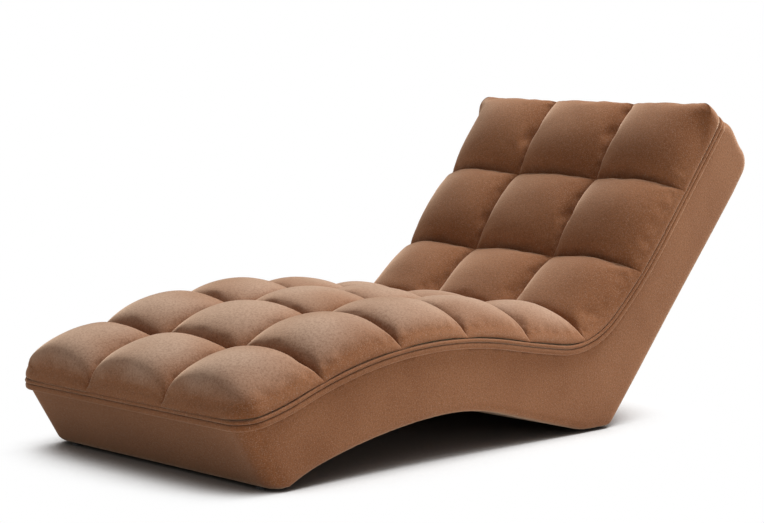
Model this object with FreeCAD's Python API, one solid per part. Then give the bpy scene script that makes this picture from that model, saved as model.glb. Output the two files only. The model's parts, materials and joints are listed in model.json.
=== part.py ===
import FreeCAD, Part
import math
import os

# Chaise longue: a quilted pad on an upholstered plywood shell with an arch under the seat.
# Millimetres. X runs across, Y from the foot end (-Y) to the head end (+Y), Z up.
# The origin is on the floor, under the middle of the length and the width.
# Pieces are drawn with y counted from the foot end, and moved to the origin when they are saved.

# Width, and how far the pad overhangs the shell at each side
PAD_WIDTH = 820.0
SIDE_OVERHANG = 10.0

# Welt line, the seam where the pad meets its trim: its height and heading at the foot end,
# and its stretches as seen from the side, each with a length and how far it turns upwards.
WELT_START_HEIGHT = 163.0
WELT_START_HEADING = 5.6
FOOT_RISE_LENGTH = 172.0
FOOT_RISE_TURN = 14.5
SEAT_CROWN_LENGTH = 660.0
SEAT_CROWN_TURN = -31.0
SEAT_DIP_LENGTH = 180.0
SEAT_DIP_TURN = 2.5
CREASE_BEND_LENGTH = 198.0
CREASE_BEND_TURN = 48.0
LUMBAR_BEND_LENGTH = 264.0
LUMBAR_BEND_TURN = 10.5
BACK_RUN_LENGTH = 381.0

# Quilting: length of each row along the welt line, and columns across the width.
# The last row takes what is left up to the head end.
SEAT_ROWS = (237.0, 234.0, 208.0, 211.0, 203.0)
BACK_ROWS = (260.0, 254.0)
COLUMNS = 3

# Heights of the pad above the welt line
PUFF_HEIGHT = 80.0
SEAM_HEIGHT = 48.0
SEAM_SAG = 7.0
PAD_EDGE_HEIGHT = 30.0
EDGE_SAG = 6.0
FOOT_SHOULDER_REACH = 26.0
FOOT_SHOULDER_HEIGHT = 64.0
HEAD_SHOULDER_REACH = 42.0
HEAD_SHOULDER_HEIGHT = 68.0
HEAD_EDGE_HEIGHT = 34.0
SIDE_BULGE = 4.0
PAD_GAP = 0.3

# Lip and welt band, one under the other below the welt line
LIP_HEIGHT = 9.0
BAND_HEIGHT = 15.0
TRIM_THICKNESS = 16.0
TRIM_ROUNDING = 4.0
FOOT_CORNER_RADIUS = 58.0
HEAD_CORNER_RADIUS = 62.0

# Shell outline
FOOT_SETBACK = 12.0
HEAD_SETBACK = 18.0
FOOT_BASE_Y = 98.0
BACK_DEPTH = 163.0
REAR_SLOPE = 48.3
HEAD_REAR_RADIUS = 50.0
REAR_HEEL_RADIUS = 26.0
SHELL_EDGE_RADIUS = 20.0

# Arch in the lower edge: where it leaves the floor, how steeply, and its stretches.
# It comes down to the floor again at the slope that these leave it with.
ARCH_START_Y = 123.0
ARCH_FOOT_RADIUS = 60.0
ARCH_FOOT_SLOPE = 26.7
ARCH_SHOULDER_LENGTH = 98.0
ARCH_SHOULDER_TURN = -11.6
ARCH_RISE_LENGTH = 344.0
ARCH_RISE_TURN = -11.6
ARCH_CROWN_LENGTH = 238.0
ARCH_CROWN_TURN = -18.6
ARCH_END_RADIUS = 200.0

# Cover, padding and boards
COVER = 2.0
PADDING = 6.0
SIDE_WRAP = 60.0
SIDE_PANEL = 18.0
FOOT_BOARD = 15.0
REAR_BOARD = 9.0
HEAD_BOARD = 15.0
ARCH_BOARD = 6.0
DECK = 9.0

# Timber rails
RAIL_WIDTH = 45.0
RAIL_DEPTH = 32.0
ARCH_RAIL_DEPTH = 25.0
FLOOR_RAIL_HEIGHT = 48.0
FLOOR_RAIL_LENGTH = 90.0
FLOOR_SCREW_HEIGHT = 29.0
DECK_RAIL_END_ROOM = 110.0
ARCH_RAIL_END_ROOM = 220.0
SEAT_RAIL_COUNT = 5
BACK_RAIL_COUNT = 3
ARCH_RAIL_COUNT = 3

# Glides and screws
GLIDE_HEIGHT = 5.0
GLIDE_RADIUS = 9.0
GLIDE_STEM_RADIUS = 3.0
GLIDE_STEM_DEPTH = 22.0
GLIDE_INSET = 70.0
SCREW_RADIUS = 2.5
SCREW_LENGTH = 50.0
SCREW_HEAD_RADIUS = 4.5
SCREW_HEAD_DEPTH = 3.0
SCREW_SPACING = 24.0
HOLE_GAP = 0.15

# For cutting shapes: longer than any piece, and a little past a face
FAR = 3000.0
PAST = 1.0

# Closer than this counts as the same place
CLOSE = 0.01


class Profile:
    """A side view line of straight and round stretches that run smoothly into each other."""

    def __init__(self, start, heading, stretches):
        self.start = start
        self.heading = math.radians(heading)
        self.stretches = [(length, math.radians(turn)) for length, turn in stretches]
        self.length = sum(length for length, turn in self.stretches)

    def at(self, along, above=0.0):
        """Point at a distance along the line and a height above it, and the heading there."""
        y, z = self.start
        heading = self.heading
        left = along
        last = len(self.stretches) - 1
        for index, (length, turn) in enumerate(self.stretches):
            run = left if left <= length or index == last else length
            bend = turn * run / length
            chord = run if abs(bend) < 1e-9 else run * math.sin(bend / 2) / (bend / 2)
            y += chord * math.cos(heading + bend / 2)
            z += chord * math.sin(heading + bend / 2)
            heading += bend
            left -= run
            if left <= 0:
                break
        return y - above * math.sin(heading), z + above * math.cos(heading), heading

    def point(self, along, above=0.0, x=0.0):
        y, z, heading = self.at(along, above)
        return FreeCAD.Vector(x, y, z)

    def direction(self, along):
        heading = self.at(along)[2]
        return FreeCAD.Vector(0, math.cos(heading), math.sin(heading))

    def edges(self, begin, end, above):
        """The line from begin to end, moved up by above, as lines and arcs."""
        stops = [begin]
        reach = 0.0
        for length, turn in self.stretches:
            reach += length
            if begin + CLOSE < reach < end - CLOSE:
                stops.append(reach)
        stops.append(end)
        edges = []
        for first, second in zip(stops, stops[1:]):
            a = self.point(first, above)
            b = self.point(second, above)
            if abs(self.at(first)[2] - self.at(second)[2]) < 1e-6:
                edges.append(Part.makeLine(a, b))
            else:
                edges.append(Part.Arc(a, self.point((first + second) / 2, above), b).toShape())
        return edges


WELT_LINE = Profile(
    (0.0, WELT_START_HEIGHT),
    WELT_START_HEADING,
    (
        (FOOT_RISE_LENGTH, FOOT_RISE_TURN),
        (SEAT_CROWN_LENGTH, SEAT_CROWN_TURN),
        (SEAT_DIP_LENGTH, SEAT_DIP_TURN),
        (CREASE_BEND_LENGTH, CREASE_BEND_TURN),
        (LUMBAR_BEND_LENGTH, LUMBAR_BEND_TURN),
        (BACK_RUN_LENGTH, 0.0),
    ),
)


def arch_line():
    """Lower edge between the foot and the rear, level with the floor line at both its ends."""
    start = (ARCH_START_Y, GLIDE_HEIGHT)
    stretches = [
        (ARCH_FOOT_RADIUS * math.radians(ARCH_FOOT_SLOPE), ARCH_FOOT_SLOPE),
        (ARCH_SHOULDER_LENGTH, ARCH_SHOULDER_TURN),
        (ARCH_RISE_LENGTH, ARCH_RISE_TURN),
        (ARCH_CROWN_LENGTH, ARCH_CROWN_TURN),
    ]
    rise = Profile(start, 0.0, stretches)
    crown_end_height, slope = rise.at(rise.length)[1:]
    end_drop = ARCH_END_RADIUS * (1 - math.cos(slope))
    fall = (crown_end_height - GLIDE_HEIGHT - end_drop) / math.sin(-slope)
    end_bend = (ARCH_END_RADIUS * -slope, math.degrees(-slope))
    return Profile(start, 0.0, stretches + [(fall, 0.0), end_bend])


ARCH_LINE = arch_line()
HALF_PAD = PAD_WIDTH / 2
HALF_SHELL = HALF_PAD - SIDE_OVERHANG
HEAD = WELT_LINE.length
CREASE = sum(SEAT_ROWS)
SHELL_INSET = COVER + PADDING
PANEL_OUT = HALF_SHELL - SHELL_INSET
PANEL_IN = PANEL_OUT - SIDE_PANEL
SHELL_TOP = -LIP_HEIGHT - BAND_HEIGHT
DECK_UNDER = SHELL_TOP - DECK
SHELL_CORNER_RADIUS = FOOT_CORNER_RADIUS - SIDE_OVERHANG
ARCH_RAIL_UNDER = SHELL_INSET + ARCH_BOARD
PAD_SIDE = HALF_PAD - PAD_GAP - SIDE_BULGE

pieces = {}


def side_vector(degrees):
    """Direction in the side view at an angle above level."""
    return FreeCAD.Vector(0, math.cos(math.radians(degrees)), math.sin(math.radians(degrees)))


def extrude(face, half_width):
    """Solid of a side view face, from -half_width to +half_width."""
    moved = face.translated(FreeCAD.Vector(-half_width, 0, 0))
    return moved.extrude(FreeCAD.Vector(2 * half_width, 0, 0))


def face_of(edges):
    return Part.Face(Part.Wire(Part.__sortEdges__(edges)))


def layer(line, begin, end, low, high, half_width):
    """Slab that follows a line between two heights above it."""
    edges = line.edges(begin, end, low) + line.edges(begin, end, high)
    edges.append(Part.makeLine(line.point(begin, low), line.point(begin, high)))
    edges.append(Part.makeLine(line.point(end, low), line.point(end, high)))
    return extrude(face_of(edges), half_width)


def block(x_low, x_high, y_low, y_high, z_low, z_high):
    size = (x_high - x_low, y_high - y_low, z_high - z_low)
    return Part.makeBox(*size, FreeCAD.Vector(x_low, y_low, z_low))


def normal_of(face):
    u_low, u_high, v_low, v_high = face.ParameterRange
    return face.normalAt((u_low + u_high) / 2, (v_low + v_high) / 2)


def edges_between(solid, is_first, is_second):
    """Edges where a face of one sort meets a face of the other sort."""
    found = []
    for edge in solid.Edges:
        sides = solid.ancestorsOfType(edge, Part.Face)
        if len(sides) != 2:
            continue
        a, b = sides
        if is_first(a) and is_second(b) or is_first(b) and is_second(a):
            found.append(edge)
    return found


def faces_across(face):
    """True for a side face or a rounded corner, which look out along X."""
    return abs(normal_of(face).x) > 0.05


def is_end_at(along):
    """Test for the flat end face of a slab at a distance along the welt line."""
    direction = WELT_LINE.direction(along)
    level = WELT_LINE.point(along).dot(direction)

    def is_end(face):
        parallel = abs(normal_of(face).dot(direction)) > 0.9999
        return parallel and abs(face.CenterOfMass.dot(direction) - level) < CLOSE

    return is_end


def pad_outline_slab(inset, low, high, rim_rounding):
    """Slab over the pad's whole outline, less an inset, with round corners and a round rim."""
    is_foot = is_end_at(inset)
    is_head = is_end_at(HEAD - inset)

    def is_wall(face):
        return faces_across(face) or is_foot(face) or is_head(face)

    def is_flat(face):
        return not is_wall(face)

    slab = layer(WELT_LINE, inset, HEAD - inset, low, high, HALF_PAD - inset)
    slab = slab.makeFillet(FOOT_CORNER_RADIUS - inset, edges_between(slab, is_foot, faces_across))
    slab = slab.makeFillet(HEAD_CORNER_RADIUS - inset, edges_between(slab, is_head, faces_across))
    if rim_rounding:
        slab = slab.makeFillet(rim_rounding, edges_between(slab, is_wall, is_flat))
    return slab


def ring(low, high):
    """Round-edged strip that runs all round the pad's outline."""
    outside = pad_outline_slab(0.0, low, high, TRIM_ROUNDING)
    inside = pad_outline_slab(TRIM_THICKNESS, low - PAST, high + PAST, 0.0)
    return outside.cut(inside)


def meeting(a_point, a_direction, b_point, b_direction):
    """Where two lines of the side view cross."""
    across = a_direction.y * b_direction.z - a_direction.z * b_direction.y
    offset = b_point - a_point
    run = (offset.y * b_direction.z - offset.z * b_direction.y) / across
    return a_point + a_direction * run


def corner_arc(before, corner, after, radius):
    """Start, middle and end of the arc that rounds a corner of the side view."""
    back = (before - corner).normalize()
    onward = (after - corner).normalize()
    half_angle = back.getAngle(onward) / 2
    run = radius / math.tan(half_angle)
    inward = (back + onward).normalize()
    middle = corner + inward * (radius / math.sin(half_angle) - radius)
    return corner + back * run, middle, corner + onward * run


TOE = FreeCAD.Vector(0, FOOT_BASE_Y, GLIDE_HEIGHT)
REAR_UP = side_vector(REAR_SLOPE)
REAR_POINT = WELT_LINE.point(HEAD - BACK_RUN_LENGTH, -BACK_DEPTH)
HEEL = meeting(TOE, side_vector(0.0), REAR_POINT, REAR_UP)
FOOT_FACE_TOP = WELT_LINE.point(FOOT_SETBACK, SHELL_TOP)
HEAD_FACE_TOP = WELT_LINE.point(HEAD - HEAD_SETBACK, SHELL_TOP)
HEAD_DOWN = (HEAD_FACE_TOP - WELT_LINE.point(HEAD - HEAD_SETBACK)).normalize()
HEAD_REAR = meeting(HEAD_FACE_TOP, HEAD_DOWN, REAR_POINT, REAR_UP)


def foot_face_reach(top):
    """Distance along the welt line at which the sloping foot face passes a height above it."""
    slope = FOOT_FACE_TOP - TOE
    forward = WELT_LINE.direction(FOOT_SETBACK)
    upward = FreeCAD.Vector(0, -forward.z, forward.y)
    return FOOT_SETBACK + (top - SHELL_TOP) * slope.dot(forward) / slope.dot(upward)


def shell_outline(top):
    """Side view outline of the upholstered shell, up to a height above the welt line."""
    foot_reach = foot_face_reach(top)
    foot_top = WELT_LINE.point(foot_reach, top)
    head_top = WELT_LINE.point(HEAD - HEAD_SETBACK, top)
    arch_foot = ARCH_LINE.point(0.0)
    arch_end = ARCH_LINE.point(ARCH_LINE.length)
    heel_start, heel_middle, heel_end = corner_arc(TOE, HEEL, HEAD_REAR, REAR_HEEL_RADIUS)
    rear_start, rear_middle, rear_end = corner_arc(HEEL, HEAD_REAR, head_top, HEAD_REAR_RADIUS)
    edges = [Part.makeLine(foot_top, TOE), Part.makeLine(TOE, arch_foot)]
    edges += ARCH_LINE.edges(0.0, ARCH_LINE.length, 0.0)
    edges += [
        Part.makeLine(arch_end, heel_start),
        Part.Arc(heel_start, heel_middle, heel_end).toShape(),
        Part.makeLine(heel_end, rear_start),
        Part.Arc(rear_start, rear_middle, rear_end).toShape(),
        Part.makeLine(rear_end, head_top),
    ]
    edges += WELT_LINE.edges(foot_reach, HEAD - HEAD_SETBACK, top)
    return Part.Wire(Part.__sortEdges__(edges))


def looks_at_foot(face):
    normal = normal_of(face)
    return not faces_across(face) and normal.y < -0.5 and normal.z < 0


def is_shell_top(face):
    """True for the upper faces that follow the welt line, not for the head end."""
    normal = normal_of(face)
    at_head = normal.dot(WELT_LINE.direction(HEAD)) > 0.95
    return not faces_across(face) and normal.z > 0.3 and not at_head


def is_skirt(face):
    """True for the faces behind the foot face: under the arch, up the rear and at the head."""
    return not (faces_across(face) or is_shell_top(face) or looks_at_foot(face))


def looks_down(face):
    return normal_of(face).z < -0.999


def shell_body(inset, top):
    """Shell as a whole, with its rounded corners and edges, less an inset all round."""
    outline = shell_outline(top + inset)
    if inset:
        outline = outline.makeOffset2D(-inset)
    body = extrude(Part.Face(outline), HALF_SHELL - inset)
    corners = edges_between(body, looks_at_foot, faces_across)
    body = body.makeFillet(SHELL_CORNER_RADIUS - inset, corners)
    rim = edges_between(body, faces_across, is_skirt) + edges_between(body, looks_at_foot, looks_down)
    return body.makeFillet(SHELL_EDGE_RADIUS - inset, rim)


def skin(outer_inset, thickness):
    """Shell-shaped skin, open under the pad."""
    outer = shell_body(outer_inset, SHELL_TOP)
    return outer.cut(shell_body(outer_inset + thickness, SHELL_TOP + thickness))


def add_skin(name, whole):
    """Cut a skin into its panels: two sides, the foot, the arch, and the rear with the head end."""
    middle = HALF_SHELL - SIDE_WRAP
    foot_seam = ARCH_LINE.point(0.0).y
    rear_seam = ARCH_LINE.point(ARCH_LINE.length).y
    side = whole.common(block(middle, FAR, -FAR, FAR, -FAR, FAR))
    pieces["left_" + name] = side.mirror(FreeCAD.Vector(0, 0, 0), FreeCAD.Vector(1, 0, 0))
    pieces["right_" + name] = side
    pieces["foot_" + name] = whole.common(block(-middle, middle, -FAR, foot_seam, -FAR, FAR))
    pieces["arch_" + name] = whole.common(block(-middle, middle, foot_seam, rear_seam, -FAR, FAR))
    pieces["rear_" + name] = whole.common(block(-middle, middle, rear_seam, FAR, -FAR, FAR))


def board(corner, direction, thickness):
    """Long board as deep as the side panels, to the right of a side view line."""
    inward = FreeCAD.Vector(0, direction.z, -direction.y)
    near = corner + inward * SHELL_INSET
    far = near + inward * thickness
    run = direction * FAR
    corners = [near - run, near + run, far + run, far - run]
    return extrude(Part.Face(Part.makePolygon(corners + [corners[0]])), PANEL_IN)


def add_frame():
    """Plywood sides and boards, with timber rails at the floor."""
    core = shell_body(SHELL_INSET, DECK_UNDER)
    pieces["left_side_panel"] = core.common(block(-PANEL_OUT, -PANEL_IN, -FAR, FAR, -FAR, FAR))
    pieces["right_side_panel"] = core.common(block(PANEL_IN, PANEL_OUT, -FAR, FAR, -FAR, FAR))

    inside = core.common(block(-PANEL_IN, PANEL_IN, -FAR, FAR, -FAR, FAR))
    foot_board = inside.common(board(TOE, (FOOT_FACE_TOP - TOE).normalize(), FOOT_BOARD))
    rear_board = inside.common(board(HEEL, REAR_UP * -1, REAR_BOARD))
    head_board = inside.common(board(HEAD_FACE_TOP, HEAD_DOWN, HEAD_BOARD))
    arch_board = layer(ARCH_LINE, 0.0, ARCH_LINE.length, SHELL_INSET, ARCH_RAIL_UNDER, PANEL_IN)
    pieces["foot_board"] = foot_board
    pieces["rear_board"] = rear_board
    pieces["head_board"] = head_board.cut(rear_board)
    pieces["arch_board"] = arch_board.common(inside).cut(foot_board).cut(rear_board)

    room = inside.cut(foot_board).cut(rear_board).cut(arch_board)
    rail_top = GLIDE_HEIGHT + SHELL_INSET + FLOOR_RAIL_HEIGHT
    foot_rail_end = FOOT_BASE_Y + FLOOR_RAIL_LENGTH
    rear_rail_start = HEEL.y - FLOOR_RAIL_LENGTH
    pieces["foot_rail"] = room.common(block(-FAR, FAR, -FAR, foot_rail_end, -FAR, rail_top))
    pieces["rear_rail"] = room.common(block(-FAR, FAR, rear_rail_start, FAR, -FAR, rail_top))


def spread(begin, end, count):
    """Evenly spaced distances from begin to end."""
    return [begin + (end - begin) * index / (count - 1) for index in range(count)]


def add_rail(name, line, along, low, high):
    """Cross rail under or over a line, and the places of the screws in its ends."""
    half = RAIL_WIDTH / 2
    pieces[name] = layer(line, along - half, along + half, low, high, PANEL_IN)
    for side in (-1, 1):
        screw_points.append(line.point(along + side * SCREW_SPACING / 2, (low + high) / 2))


def add_rails():
    """Cross rails under the seat deck, behind the back deck and over the arch board."""
    rail_under = DECK_UNDER - RAIL_DEPTH
    arch_rail_top = ARCH_RAIL_UNDER + ARCH_RAIL_DEPTH
    seat_places = spread(DECK_RAIL_END_ROOM, CREASE, SEAT_RAIL_COUNT)
    back_places = spread(CREASE + DECK_RAIL_END_ROOM, HEAD - DECK_RAIL_END_ROOM, BACK_RAIL_COUNT)
    arch_end = ARCH_LINE.length - ARCH_RAIL_END_ROOM
    arch_places = spread(ARCH_RAIL_END_ROOM, arch_end, ARCH_RAIL_COUNT)
    for number, along in enumerate(seat_places, 1):
        add_rail("seat_rail_%d" % number, WELT_LINE, along, rail_under, DECK_UNDER)
    for number, along in enumerate(back_places, 1):
        add_rail("back_rail_%d" % number, WELT_LINE, along, rail_under, DECK_UNDER)
    for number, along in enumerate(arch_places, 1):
        add_rail("arch_rail_%d" % number, ARCH_LINE, along, ARCH_RAIL_UNDER, arch_rail_top)


def add_decks():
    """Bent plywood decks on the side panels, which carry the foam."""
    whole = shell_body(SHELL_INSET, SHELL_TOP)
    seat = layer(WELT_LINE, 0.0, CREASE, DECK_UNDER, SHELL_TOP + PAST, PANEL_OUT)
    back = layer(WELT_LINE, CREASE, HEAD, DECK_UNDER, SHELL_TOP + PAST, PANEL_OUT)
    pieces["seat_deck"] = whole.common(seat)
    pieces["back_deck"] = whole.common(back)


def add_foam():
    """Foam slabs on the decks, inside the welt band and the lip."""
    whole = pad_outline_slab(TRIM_THICKNESS + PAD_GAP, SHELL_TOP, 0.0, 0.0)
    seat = layer(WELT_LINE, 0.0, CREASE, SHELL_TOP - PAST, PAST, HALF_PAD)
    back = layer(WELT_LINE, CREASE, HEAD, SHELL_TOP - PAST, PAST, HALF_PAD)
    pieces["seat_foam"] = whole.common(seat)
    pieces["back_foam"] = whole.common(back)


def pad_section(along, crown, seam, edge, bulge):
    """Outline across the pad: flat under, an arc over each column, and arcs at the sides."""

    def spot(x, height):
        return WELT_LINE.point(along, height, x)

    column = 2 * PAD_SIDE / COLUMNS
    middle = (PAD_GAP + edge) / 2
    heights = [edge] + [seam] * (COLUMNS - 1) + [edge]
    edges = [
        Part.makeLine(spot(-PAD_SIDE, PAD_GAP), spot(PAD_SIDE, PAD_GAP)),
        Part.Arc(
            spot(PAD_SIDE, PAD_GAP), spot(PAD_SIDE + bulge, middle), spot(PAD_SIDE, edge)
        ).toShape(),
    ]
    for index in reversed(range(COLUMNS)):
        left = -PAD_SIDE + index * column
        top = Part.Arc(
            spot(left + column, heights[index + 1]),
            spot(left + column / 2, crown),
            spot(left, heights[index]),
        )
        edges.append(top.toShape())
    edges.append(Part.Arc(
        spot(-PAD_SIDE, edge), spot(-PAD_SIDE - bulge, middle), spot(-PAD_SIDE, PAD_GAP)
    ).toShape())
    return Part.Wire(edges)


def seam_section(along):
    valley = SEAM_HEIGHT - SEAM_SAG
    return pad_section(along, SEAM_HEIGHT, valley, PAD_EDGE_HEIGHT - EDGE_SAG, SIDE_BULGE / 4)


def crown_section(along):
    return pad_section(along, PUFF_HEIGHT, SEAM_HEIGHT, PAD_EDGE_HEIGHT, SIDE_BULGE)


def shoulder_section(along, height):
    return pad_section(along, height, SEAM_HEIGHT - SEAM_SAG, PAD_EDGE_HEIGHT, SIDE_BULGE)


def border_section(along, height):
    """Nearly straight outline where the pad ends at the foot or the head."""
    return pad_section(along, height, height - EDGE_SAG / 4, height - EDGE_SAG / 2, SIDE_BULGE / 4)


def row_start(along):
    if along > 0:
        return [seam_section(along)]
    border = border_section(0, PAD_EDGE_HEIGHT - EDGE_SAG)
    return [border, shoulder_section(FOOT_SHOULDER_REACH, FOOT_SHOULDER_HEIGHT)]


def row_end(along, is_last):
    if not is_last:
        return [seam_section(along)]
    shoulder = shoulder_section(along - HEAD_SHOULDER_REACH, HEAD_SHOULDER_HEIGHT)
    return [shoulder, border_section(along, HEAD_EDGE_HEIGHT)]


def quilted_pad(begin, rows, ends_at_head):
    """Pad of crowned rows with a sewn channel between each pair and between the columns."""
    lofts = []
    along = begin
    for number, row in enumerate(rows, 1):
        after = along + row
        sections = row_start(along)
        sections.append(crown_section((along + after) / 2))
        sections += row_end(after, ends_at_head and number == len(rows))
        lofts.append(Part.makeLoft(sections, True, False, False, 3))
        along = after
    pad = lofts[0].fuse(lofts[1:])

    envelope = layer(WELT_LINE, begin, along, PAD_GAP - PAST, PUFF_HEIGHT + PAST, HALF_PAD)
    rounded_end, radius = (along, HEAD_CORNER_RADIUS) if ends_at_head else (begin, FOOT_CORNER_RADIUS)
    corners = edges_between(envelope, is_end_at(rounded_end), faces_across)
    return pad.common(envelope.makeFillet(radius, corners))


def add_pads():
    last_row = HEAD - CREASE - sum(BACK_ROWS)
    pieces["seat_pad"] = quilted_pad(0, SEAT_ROWS, False)
    pieces["back_pad"] = quilted_pad(CREASE, BACK_ROWS + (last_row,), True)


def add_trim():
    """Welt band under the pad, and the lip above it."""
    pieces["welt_band"] = ring(SHELL_TOP, -LIP_HEIGHT)
    pieces["pad_lip"] = ring(-LIP_HEIGHT, 0.0)


def screw(x, point, grow):
    """Screw that goes in at x, with its head flush in the side panel."""
    way = FreeCAD.Vector(-1 if x > 0 else 1, 0, 0)
    start = FreeCAD.Vector(x, point.y, point.z)
    head = Part.makeCylinder(SCREW_HEAD_RADIUS + grow, SCREW_HEAD_DEPTH, start, way)
    shank = Part.makeCylinder(SCREW_RADIUS + grow, SCREW_LENGTH + grow, start, way)
    return head.fuse(shank)


def add_screws():
    """Screws through the side panels into the ends of every rail."""
    height = GLIDE_HEIGHT + SHELL_INSET + FLOOR_SCREW_HEIGHT
    for middle in (FOOT_BASE_Y + FLOOR_RAIL_LENGTH / 2, HEEL.y - FLOOR_RAIL_LENGTH / 2):
        for side in (-1, 1):
            screw_points.append(FreeCAD.Vector(0, middle + side * SCREW_SPACING / 2, height))
    for side, x in (("left", -PANEL_OUT), ("right", PANEL_OUT)):
        screws = [screw(x, point, 0.0) for point in screw_points]
        pieces[side + "_frame_screws"] = Part.makeCompound(screws)
    holes = [screw(x, point, HOLE_GAP) for point in screw_points for x in (-PANEL_OUT, PANEL_OUT)]
    for name, piece in list(pieces.items()):
        if name.endswith(("side_panel", "rail")) or "_rail_" in name:
            near = [hole for hole in holes if piece.BoundBox.intersect(hole.BoundBox)]
            pieces[name] = piece.cut(near)


def add_glides():
    """Four glides under the shell, with stems up into the floor rails."""
    foot_y = (FOOT_BASE_Y + SHELL_EDGE_RADIUS / 2 + ARCH_START_Y) / 2
    rear_y = (ARCH_LINE.point(ARCH_LINE.length).y + HEEL.y) / 2
    up = FreeCAD.Vector(0, 0, 1)
    x = HALF_SHELL - GLIDE_INSET
    stem_top = GLIDE_HEIGHT + GLIDE_STEM_DEPTH
    for end, y in (("foot", foot_y), ("rear", rear_y)):
        for side, place in (("left", -x), ("right", x)):
            floor = FreeCAD.Vector(place, y, 0)
            disc = Part.makeCylinder(GLIDE_RADIUS, GLIDE_HEIGHT, floor, up)
            stem = Part.makeCylinder(GLIDE_STEM_RADIUS, stem_top, floor, up)
            hole = Part.makeCylinder(GLIDE_STEM_RADIUS + HOLE_GAP, stem_top + HOLE_GAP, floor, up)
            for name, piece in list(pieces.items()):
                near = piece.BoundBox.intersect(hole.BoundBox)
                if near and piece.distToShape(hole)[0] < CLOSE:
                    pieces[name] = piece.cut(hole)
            pieces["%s_%s_glide" % (side, end)] = disc.fuse(stem).removeSplitter()


def save():
    """Move every piece to the origin and write it."""
    bounds = Part.makeCompound(list(pieces.values())).optimalBoundingBox()
    shift = FreeCAD.Vector(0, -(bounds.YMin + bounds.YMax) / 2, 0)
    os.makedirs("parts", exist_ok=True)
    for name, shape in pieces.items():
        shape.translated(shift).exportStep("parts/%s.step" % name)
    print("length %.1f width %.1f height %.1f" % (bounds.YLength, bounds.XLength, bounds.ZLength))


screw_points = []
add_frame()
add_rails()
add_decks()
add_skin("padding", skin(COVER, PADDING))
add_skin("cover", skin(0.0, COVER))
add_trim()
add_foam()
add_pads()
add_screws()
add_glides()
save()
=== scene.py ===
import json
import math

import bmesh
import bpy
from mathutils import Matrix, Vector, noise
from mathutils.bvhtree import BVHTree


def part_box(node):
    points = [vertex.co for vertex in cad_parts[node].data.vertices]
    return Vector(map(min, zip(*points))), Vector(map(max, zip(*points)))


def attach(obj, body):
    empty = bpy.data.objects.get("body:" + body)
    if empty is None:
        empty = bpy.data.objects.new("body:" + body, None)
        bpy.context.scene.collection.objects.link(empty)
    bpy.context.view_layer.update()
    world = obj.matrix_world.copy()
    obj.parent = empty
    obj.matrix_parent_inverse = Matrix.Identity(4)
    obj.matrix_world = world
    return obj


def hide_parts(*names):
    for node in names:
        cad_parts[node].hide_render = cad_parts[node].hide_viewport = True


# Chaise longue: a quilted pad on an upholstered shell with an arch under the seat.
# Metres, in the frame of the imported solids.

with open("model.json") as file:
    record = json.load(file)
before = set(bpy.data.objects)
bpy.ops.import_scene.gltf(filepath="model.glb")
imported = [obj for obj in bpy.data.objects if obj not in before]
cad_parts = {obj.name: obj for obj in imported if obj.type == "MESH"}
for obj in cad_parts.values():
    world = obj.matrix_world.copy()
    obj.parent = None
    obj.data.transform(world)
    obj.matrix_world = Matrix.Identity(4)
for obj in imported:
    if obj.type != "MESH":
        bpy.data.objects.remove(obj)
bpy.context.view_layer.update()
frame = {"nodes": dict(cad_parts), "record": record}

# Widths, and the corners of the pad's outline
HALF_PAD = 0.410
HALF_SHELL = 0.400
FOOT_CORNER = 0.058
HEAD_CORNER = 0.040

# Rows and columns of the quilting
SEAT_ROWS = (0.237, 0.234, 0.208, 0.211, 0.203)
BACK_ROWS = (0.260, 0.254, 0.248)
SEAT_CROWNS = (0.098, 0.090, 0.086, 0.085, 0.092)
BACK_CROWNS = (0.088, 0.088, 0.085)
COLUMNS = 3
CELL_STEPS = 26
CELL_PINCH = 0.78

# Heights of the pad above the welt line, the seam where it meets its trim
SEAM = 0.042
CROSSING = 0.031
SEAM_END = 0.010
SEAT_EDGE = 0.027
BACK_EDGE = 0.019
HEAD_EDGE = 0.045
HEAD_EDGE_SEAM = 0.038
HEAD_EDGE_CORNER = 0.053
PAD_INSET = 0.0043
PAD_BASE = -0.002
TUCK = 0.007
TUCK_REACH = 0.035
TUCK_HEAD_REACH = 0.11

# Softness of the puffs: uneven filling, folds out of the crossings and the wall's swelling
UNEVEN = 0.0028
FOLD_HEIGHT = 0.0014
FOLD_REACH = 0.42
FOLD_SPREAD = 0.2
FOLDS_PER_TURN = 7
WALL_STEPS = 5
WALL_SWELL = 0.003

# Cloth simulation of the puffs
PRESSURE = 2.4
MOST_SWELL = 0.014
LAST_FRAME = 20

# Trim under the welt line
LIP = 0.009
BAND = 0.015
TRIM_THICKNESS = 0.016
TRIM_STEP = 0.012
TRIM_CORNER_STEPS = 10
TRIM_ROUND_STEPS = 14

# Shell
FOOT_SETBACK = 0.012
HEAD_SETBACK = 0.006
HEAD_BULGE = 0.015
HEAD_BULGE_STEPS = 12
SHELL_TOP = -LIP - BAND
FOOT_BASE_Y = 0.098
FLOOR_GAP = 0.005
BACK_DEPTH = 0.167
REAR_SLOPE = 48.3
HEEL_ROUNDING = 0.026
HEAD_REAR_ROUNDING = 0.050
RIM_ROUNDING = 0.016
SHELL_CORNER = 0.044
HEAD_ROUNDING = 0.027
HEAD_ROUNDING_REACH = 0.12
SKIN = 0.002
SKIN_TOP = SHELL_TOP + 0.004
SKIN_VOXEL = 0.009
SKIN_UNEVEN = 0.0008
TOP_DEPTH = 0.006
FOAM_VOXEL = 0.010

ARCH_START_Y = 0.123
ARCH_FOOT_RADIUS = 0.060
ARCH_FOOT_SLOPE = 26.7
ARCH_END_RADIUS = 0.200
ARCH_STEPS = 60
TOP_STEPS = 90
STRIP_STEPS = 120
BACK_RUN = 0.381
SHIFT = ARCH_START_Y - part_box("arch_board")[0].y


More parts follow.
